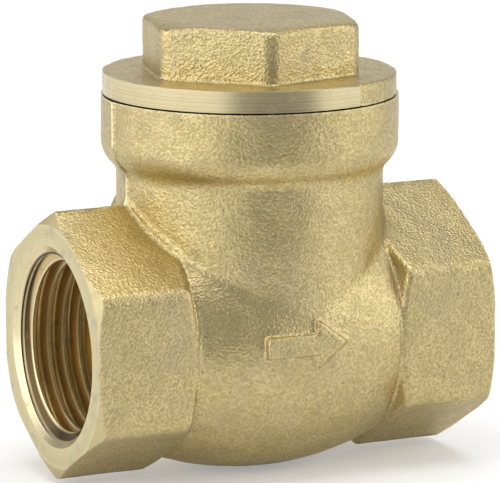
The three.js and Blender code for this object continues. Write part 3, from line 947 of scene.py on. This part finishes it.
class Shader:
    """A material's nodes. Sizes are in millimetres, measured in the piece's own axes."""

    def __init__(self, name):
        self.material = bpy.data.materials.new(name)
        self.material.use_nodes = True
        self.tree = self.material.node_tree
        self.surface = self.tree.nodes["Principled BSDF"]
        own = {0: self.node("ShaderNodeTexCoord").outputs["Object"], "Scale": 1 / MM}
        self.place = self.node("ShaderNodeVectorMath", own, operation="SCALE").outputs[0]

    def node(self, kind, inputs=None, **settings):
        made = self.tree.nodes.new(kind)
        for key, value in settings.items():
            setattr(made, key, value)
        for key, value in (inputs or {}).items():
            self.feed(made.inputs[key], value)
        return made

    def feed(self, socket, value):
        if isinstance(value, bpy.types.NodeSocket):
            self.tree.links.new(value, socket)
        else:
            socket.default_value = value

    def math(self, operation, a, b=0.0):
        return self.node("ShaderNodeMath", {0: a, 1: b}, operation=operation).outputs[0]

    def noise(self, size, detail=2.0, seed=0, place=None):
        inputs = {"Vector": place or self.place, "W": seed, "Scale": 1 / size, "Detail": detail}
        return self.node("ShaderNodeTexNoise", inputs, noise_dimensions="4D").outputs[0]

    def ramp(self, value, start, end, low=0.0, high=1.0):
        inputs = {"Value": value, "From Min": start, "From Max": end, "To Min": low, "To Max": high}
        return self.node("ShaderNodeMapRange", inputs, interpolation_type="SMOOTHSTEP").outputs[0]

    def mix(self, share, a, b):
        a, b = (value if isinstance(value, bpy.types.NodeSocket) else (*value, 1) for value in (a, b))
        return self.node("ShaderNodeMix", {0: share, 6: a, 7: b}, data_type="RGBA").outputs[2]

    def patches(self, size, detail, seed, start, full, most):
        """Soft patches, up to most, where a noise rises from start to full."""
        return self.ramp(self.noise(size, detail, seed), start, full, 0, most)

    def bump(self, height, depth):
        return self.node("ShaderNodeBump", {"Height": height, "Distance": depth * MM}).outputs[0]

    def crease(self, reach):
        """1 in a narrow corner, 0 in the open."""
        shade = self.node("ShaderNodeAmbientOcclusion", {"Distance": reach * MM}, samples=4)
        return self.math("SUBTRACT", 1, shade.outputs["AO"])

    def edge(self, reach):
        """1 along an edge, 0 on a smooth face."""
        soft = self.node("ShaderNodeBevel", {"Radius": reach * MM}, samples=4).outputs[0]
        true = self.node("ShaderNodeNewGeometry").outputs["Normal"]
        match = self.node("ShaderNodeVectorMath", {0: soft, 1: true}, operation="DOT_PRODUCT")
        return self.ramp(match.outputs["Value"], *EDGE_TURN)

    def polar(self, axis):
        """Distance from an axis and distance along it."""
        parts = self.node("ShaderNodeSeparateXYZ", {0: self.place})
        along = parts.outputs[axis]
        across = [parts.outputs[name] for name in "XYZ" if name != axis]
        squares = [self.math("MULTIPLY", part, part) for part in across]
        return self.math("SQRT", self.math("ADD", *squares)), along

    def turning(self, radius, along, size, detail=2):
        """Fine tool lines, rings about the axis that the two distances belong to."""
        spiral = self.node("ShaderNodeCombineXYZ", {0: radius, 1: along}).outputs[0]
        return self.noise(size, detail, 1, spiral)

    def done(self, color, metallic, roughness, normal):
        values = {"Base Color": color, "Metallic": metallic, "Roughness": roughness, "Normal": normal}
        for key, value in values.items():
            self.feed(self.surface.inputs[key], value)
        return self.material


BRASS_DARK, BRASS_BRIGHT, BRASS_WEAR_AND_HIGHLIGHT = (0.68, 0.57, 0.32), (0.84, 0.74, 0.46), (0.95, 0.85, 0.56)
STEEL_DARK, STEEL_BRIGHT = (0.48, 0.48, 0.47), (0.66, 0.66, 0.65)
GRAIN_DARK, GRAIN_BRIGHT, GRAIN_CREASE_SHADE = (0.525, 0.42, 0.185), (0.75, 0.62, 0.322), (0.12, 0.085, 0.04)
GRAIN_SIZE, FINE_SIZE, FINE_SHARE = 0.27, 0.14, 0.22
MOTTLE = (0.49, 0.40, 0.195), {"size": 2.4, "detail": 3, "seed": 6, "start": 0.4, "full": 0.6, "most": 0.32}
WARM = (0.60, 0.48, 0.32), {"size": 7, "detail": 3, "seed": 3, "start": 0.45, "full": 0.7, "most": 0.3}
STAIN = (0.33, 0.29, 0.22), {"size": 2.4, "detail": 4, "seed": 4, "start": 0.6, "full": 0.75, "most": 0.45}
PITS = (0.20, 0.145, 0.07), {"size": 0.55, "detail": 2, "seed": 7, "start": 0.66, "full": 0.74, "most": 0.5}


def forged_brass(name, roughness, depth, seam_highlight=0.0):
    """Sand-blasted brass: a bright grain with brown in its pits, faint grey tarnish, painted shade in
    creases, paler edges that are partly wear and partly a painted highlight, and a painted highlight along
    the flash line.
    """
    shader = Shader(name)
    grain = shader.noise(GRAIN_SIZE, 1.5, 1)
    fine = shader.noise(FINE_SIZE, 1, 2)
    relief = [shader.math("MULTIPLY", grain, 1 - FINE_SHARE), shader.math("MULTIPLY", fine, FINE_SHARE)]
    relief = shader.math("ADD", *relief)
    color = shader.mix(shader.ramp(relief, 0.36, 0.64), GRAIN_DARK, GRAIN_BRIGHT)
    for tint, patch in (MOTTLE, WARM, STAIN, PITS):
        color = shader.mix(shader.patches(**patch), color, tint)
    # Painted shade: ambient occlusion darkens creases and corners towards a dark brown.
    crease_shade = shader.ramp(shader.crease(1.4), 0.35, 0.85, 0, 0.75)
    color = shader.mix(crease_shade, color, GRAIN_CREASE_SHADE)
    # Edges are painted paler: partly wear, partly a painted highlight standing for the light that rounded
    # edges catch.
    wear_and_sheen = shader.ramp(shader.noise(0.4, 2, 8), 0.4, 0.6, 0.35, 0.95)
    color = shader.mix(shader.math("MULTIPLY", shader.edge(0.6), wear_and_sheen), color, BRASS_WEAR_AND_HIGHLIGHT)
    parts = shader.node("ShaderNodeSeparateXYZ", {0: shader.place}).outputs
    # A painted highlight along the flash line, partly rubbed wear.
    seam = shader.ramp(shader.math("ABSOLUTE", parts["Y"]), FLASH.half, FLASH.half / 2, 0, seam_highlight)
    seam = shader.math("MULTIPLY", seam, shader.ramp(parts["Z"], *FLASH.fade))
    color = shader.mix(seam, color, BRASS_WEAR_AND_HIGHLIGHT)
    roughness = shader.ramp(relief, 0.3, 0.7, roughness + 0.06, roughness - 0.06)
    return shader.done(color, 1.0, roughness, shader.bump(relief, depth))


FACE_DARK, FACE_BRIGHT = (0.67, 0.58, 0.33), (0.85, 0.77, 0.49)
FACE_BEVEL_BURR_AND_SHADE, FACE_BLOTCH = (0.62, 0.51, 0.27), (0.45, 0.44, 0.38)


def faced_brass():
    """Faces turned across the pipe axis, dulled by handling."""
    shader = Shader("faced_brass")
    radius, along = shader.polar("X")
    lines = shader.turning(radius, along, 0.16)
    blotch = shader.patches(2.0, 4, 2, 0.5, 0.68, 0.5)
    color = shader.mix(shader.ramp(lines, 0.3, 0.7, 0, 0.5), FACE_DARK, FACE_BRIGHT)
    color = shader.mix(blotch, color, FACE_BLOTCH)
    # The bevel is painted darker and yellower: partly a golden burr, partly painted shade that dims its
    # brighter reflection.
    bevel = shader.ramp(radius, HEX_FACE.radius - 0.05, HEX_FACE.radius + 0.1, 0, 0.7)
    color = shader.mix(bevel, color, FACE_BEVEL_BURR_AND_SHADE)
    roughness = shader.ramp(blotch, 0, 0.6, 0.42, 0.55)
    height = shader.math("ADD", lines, shader.math("MULTIPLY", shader.noise(0.35, 2, 3), 0.6))
    return shader.done(color, 1.0, roughness, shader.bump(height, 0.012))


CREST_DARK, CREST_BRIGHT = (0.80, 0.68, 0.40), (0.95, 0.86, 0.6)
LEAD_BROWN, FLANK_BROWN, GRIME = (0.12, 0.08, 0.035), (0.70, 0.52, 0.25), (0.25, 0.18, 0.08)


def threaded_brass():
    """The sockets: bright thread crests over brown roots."""
    shader = Shader("threaded_brass")
    radius, along = shader.polar("X")
    lines = shader.turning(radius, along, 0.12)
    color = shader.mix(shader.ramp(lines, 0.3, 0.7, 0, 0.6), CREST_DARK, CREST_BRIGHT)
    depth = shader.math("SUBTRACT", HALF_LENGTH, shader.math("ABSOLUTE", along))
    thread_start = SOCKET.chamfer + SOCKET.lead
    inside = shader.ramp(depth, SOCKET.chamfer, SOCKET.chamfer + 0.1)
    beyond_lead = shader.ramp(depth, thread_start - 0.1, thread_start + 0.1)
    flank = shader.ramp(radius, PIPE_THREAD.minor + 0.04, PIPE_THREAD.minor + 0.3)
    root = shader.ramp(radius, PIPE_THREAD.major - 0.3, PIPE_THREAD.major - 0.1, 1, 0.5)
    brown = shader.math("MULTIPLY", shader.math("MULTIPLY", flank, root), inside)
    stain = shader.mix(beyond_lead, LEAD_BROWN, FLANK_BROWN)
    color = shader.mix(brown, color, stain)
    grime = shader.patches(1.1, 4, 5, 0.55, 0.8, 0.5)
    color = shader.mix(grime, color, GRIME)
    roughness = shader.ramp(grime, 0, 0.5, 0.3, 0.45)
    return shader.done(color, 1.0, roughness, shader.bump(lines, 0.01))


def turned_metal(name, axis, dark, bright, roughness):
    """A metal turned about one of the piece's axes."""
    shader = Shader(name)
    lines = shader.turning(*shader.polar(axis), 0.15, 3)
    color = shader.mix(shader.ramp(lines, 0.3, 0.7), dark, bright)
    haze = shader.patches(1.6, 3, 2, 0.45, 0.75, 0.3)
    color = shader.mix(haze, color, [channel * 0.6 for channel in dark])
    # Painted shade: ambient occlusion darkens narrow corners, slot bottoms and threads.
    crease_shade = shader.ramp(shader.crease(0.8), 0.3, 0.8, 0, 0.8)
    color = shader.mix(crease_shade, color, [channel * 0.25 for channel in dark])
    roughness = shader.ramp(haze, 0, 0.3, roughness, roughness + 0.15)
    return shader.done(color, 1.0, roughness, shader.bump(lines, 0.008))


RUBBER_BLACK, RUBBER_BLOOM = (0.018, 0.018, 0.019), (0.05, 0.05, 0.052)


def nitrile():
    """Moulded rubber, nearly black, with a fine matte skin."""
    shader = Shader("nitrile")
    grain = shader.noise(0.12, 3, 1)
    color = shader.mix(shader.patches(1.5, 3, 2, 0.5, 0.8, 0.5), RUBBER_BLACK, RUBBER_BLOOM)
    return shader.done(color, 0.0, shader.ramp(grain, 0.3, 0.7, 0.5, 0.68), shader.bump(grain, 0.01))


forged = forged_brass("forged_brass", 0.38, 0.12, seam_highlight=0.8)
cast_arm = forged_brass("forged_brass_arm", 0.38, 0.12)
cap_skin = forged_brass("forged_brass_cap", 0.36, 0.165)
faced = faced_brass()
threaded = threaded_brass()
brass_x, brass_y, brass_z = (
    turned_metal(f"turned_brass_{axis.lower()}", axis, BRASS_DARK, BRASS_BRIGHT, 0.2) for axis in "XYZ"
)
steel_x = turned_metal("stainless_x", "X", STEEL_DARK, STEEL_BRIGHT, 0.22)
steel_y = turned_metal("stainless_y", "Y", STEEL_DARK, STEEL_BRIGHT, 0.22)
rubber = nitrile()


# ---- Assembly ----
def in_metres(matrix):
    placed = matrix.copy()
    placed.translation *= MM
    return placed


AT_PIPE = in_metres(Matrix.Translation((0, 0, PIPE_HEIGHT)))
AT_HINGE = in_metres(Matrix.Translation(HINGE))
AT_CLAPPER = AT_HINGE @ Matrix.Rotation(-TILT, 4, "Y")
AT_DISC = AT_CLAPPER @ Matrix.Translation((0, 0, -ARM_LENGTH * MM))

BODY_SURFACES = [forged, faced, brass_z, threaded]
CAP_SURFACES = [cap_skin, faced, brass_z]
ARM_SURFACES = [cast_arm, faced, brass_y]

# Each row: shape, name, place, body, material in the record, surfaces, the CAD piece that it stands for.
PIECES = [
    (valve_body, "valve_body_forging", AT_PIPE, "body", "forged_brass", BODY_SURFACES, "valve_body"),
    (bonnet_cap, "bonnet_cap_forging", AT_PIPE, "bonnet", "forged_brass", CAP_SURFACES, "bonnet_cap"),
    (bonnet_ring, "bonnet_o_ring_moulding", AT_PIPE, "bonnet_ring", "nitrile", [rubber], "bonnet_o_ring"),
    (hinge_pin, "hinge_pin_rod", AT_HINGE, "body", "stainless", [steel_y], "hinge_pin"),
    (pin_plug, "pin_plug_screw", AT_HINGE, "body", "turned_brass", [brass_y], "pin_plug"),
    (plug_washer, "pin_plug_sealing_washer", AT_HINGE, "body", "nitrile", [rubber], "pin_plug_washer"),
    (swing_arm, "swing_arm_casting", AT_CLAPPER, "clapper", "forged_brass", ARM_SURFACES, "swing_arm"),
    (disc_holder, "disc_holder_turning", AT_DISC, "disc", "turned_brass", [brass_x], "disc_holder"),
    (seat_seal, "seat_seal_ring", AT_DISC, "disc", "nitrile", [rubber], "seat_seal"),
    (seal_washer, "seal_washer_ring", AT_DISC, "disc", "stainless", [steel_x], "seal_washer"),
    (seal_screw, "seal_screw_slotted", AT_DISC, "disc", "stainless", [steel_x], "seal_screw"),
    (disc_washer, "disc_washer_ring", AT_DISC, "disc", "turned_brass", [brass_x], "disc_washer"),
    (disc_nut, "disc_nut_hexagon", AT_DISC, "disc", "turned_brass", [brass_x], "disc_nut"),
]
for make, *details in PIECES:
    finished(make(), *details)


# ---- Stage, with lamps and floor in metres ----
CAMERA = Sizes(azimuth=-25.775, elevation=10.919, distance=438.0, aim=(0.03, 0, 9.61))
LENS = {"lens": 286.75, "sensor_width": 36, "clip_start": 0.01}
FLOOR = Sizes(half=1.0, thick=0.01, dark=(0.80, 0.80, 0.80), bright=(0.83, 0.83, 0.825))
HIDDEN = Sizes(centre=(-30, -260, 0), inner=120, outer=190)  # floor under the camera, in millimetres
DARK_REFLECTION_GREY = (0.2, 0.2, 0.2)
GLOW = 0.1
CAMERA_GLOW = 0.2
LIGHTS = [  # name, azimuth, elevation, width, height, power
    ("left", -95, 18, 2.0, 0.9, 8.4),
    ("right", 58, 18, 0.95, 0.9, 3.4),
    ("back", 150, 20, 1.2, 0.7, 1.1),
    ("top", 0, 85, 0.8, 0.8, 4.2),
]
LIGHT_DISTANCE = 0.9
WORLD_LEVEL = 0.3


def direction(azimuth, elevation):
    """Unit vector from the object; azimuth 0 is straight in front and 90 is on the outlet side."""
    azimuth, elevation = math.radians(azimuth), math.radians(elevation)
    return Vector((
        math.sin(azimuth) * math.cos(elevation),
        -math.cos(azimuth) * math.cos(elevation),
        math.sin(elevation),
    ))


def add_camera():
    back = direction(CAMERA.azimuth, CAMERA.elevation)
    aim = Vector(CAMERA.aim) + Vector((0, 0, PIPE_HEIGHT))
    data = bpy.data.cameras.new("camera")
    for key, value in LENS.items():
        setattr(data, key, value)
    camera = new_object("camera", data)
    camera.location = (aim + back * CAMERA.distance) * MM
    camera.rotation_euler = (-back).to_track_quat("-Z", "Y").to_euler()
    bpy.context.scene.camera = camera


def add_floor():
    """A pale floor that glows a little; the camera sees it a little brighter. In the brass's reflections the
    part in front is a dark grey without glow: a painted dark reflection.
    """
    shader = Shader("floor")
    ray = shader.node("ShaderNodeLightPath").outputs
    away = shader.node("ShaderNodeVectorMath", {0: shader.place, 1: HIDDEN.centre}, operation="DISTANCE")
    # Painted dark reflection: for glossy rays the floor in front turns dark grey and loses its glow.
    dark_reflection = shader.ramp(away.outputs["Value"], HIDDEN.inner, HIDDEN.outer, 1, 0)
    dark_reflection = shader.math("MULTIPLY", dark_reflection, ray["Is Glossy Ray"])
    mottle = shader.noise(60, 3, 1)
    color = shader.mix(mottle, FLOOR.dark, FLOOR.bright)
    color = shader.mix(dark_reflection, color, DARK_REFLECTION_GREY)
    glow = shader.math("ADD", GLOW, shader.math("MULTIPLY", ray["Is Camera Ray"], CAMERA_GLOW))
    shader.feed(shader.surface.inputs["Emission Color"], (1, 1, 1, 1))
    strength = shader.math("MULTIPLY", glow, shader.math("SUBTRACT", 1, dark_reflection))
    shader.feed(shader.surface.inputs["Emission Strength"], strength)
    shader.surface.inputs["Specular IOR Level"].default_value = 0
    half = FLOOR.half
    item = block((-half, -half, -FLOOR.thick), (half, half, 0), SKIN)
    item.name = "floor"
    item.data.materials.clear()
    item.data.materials.append(shader.done(color, 0.0, 0.8, shader.bump(mottle, 0.01)))


def add_light(name, azimuth, elevation, width, height, power):
    data = bpy.data.lights.new(name, "AREA")
    data.shape = "RECTANGLE"
    data.size = width
    data.size_y = height
    data.energy = power
    item = new_object(name, data)
    back = direction(azimuth, elevation)
    item.location = back * LIGHT_DISTANCE
    item.rotation_euler = back.to_track_quat("Z", "Y").to_euler()


def add_world():
    """White behind the valve, grey where the brass mirrors it."""
    world = bpy.data.worlds.new("studio")
    world.use_nodes = True
    nodes, links = world.node_tree.nodes, world.node_tree.links
    level = nodes.new("ShaderNodeMapRange")
    level.inputs["To Min"].default_value = WORLD_LEVEL
    links.new(nodes.new("ShaderNodeLightPath").outputs["Is Camera Ray"], level.inputs["Value"])
    links.new(level.outputs["Result"], nodes["Background"].inputs["Strength"])
    nodes["Background"].inputs["Color"].default_value = (1, 1, 1, 1)
    bpy.context.scene.world = world


add_camera()
add_floor()
for light in LIGHTS:
    add_light(*light)
add_world()
bpy.context.scene.view_settings.view_transform = "Standard"
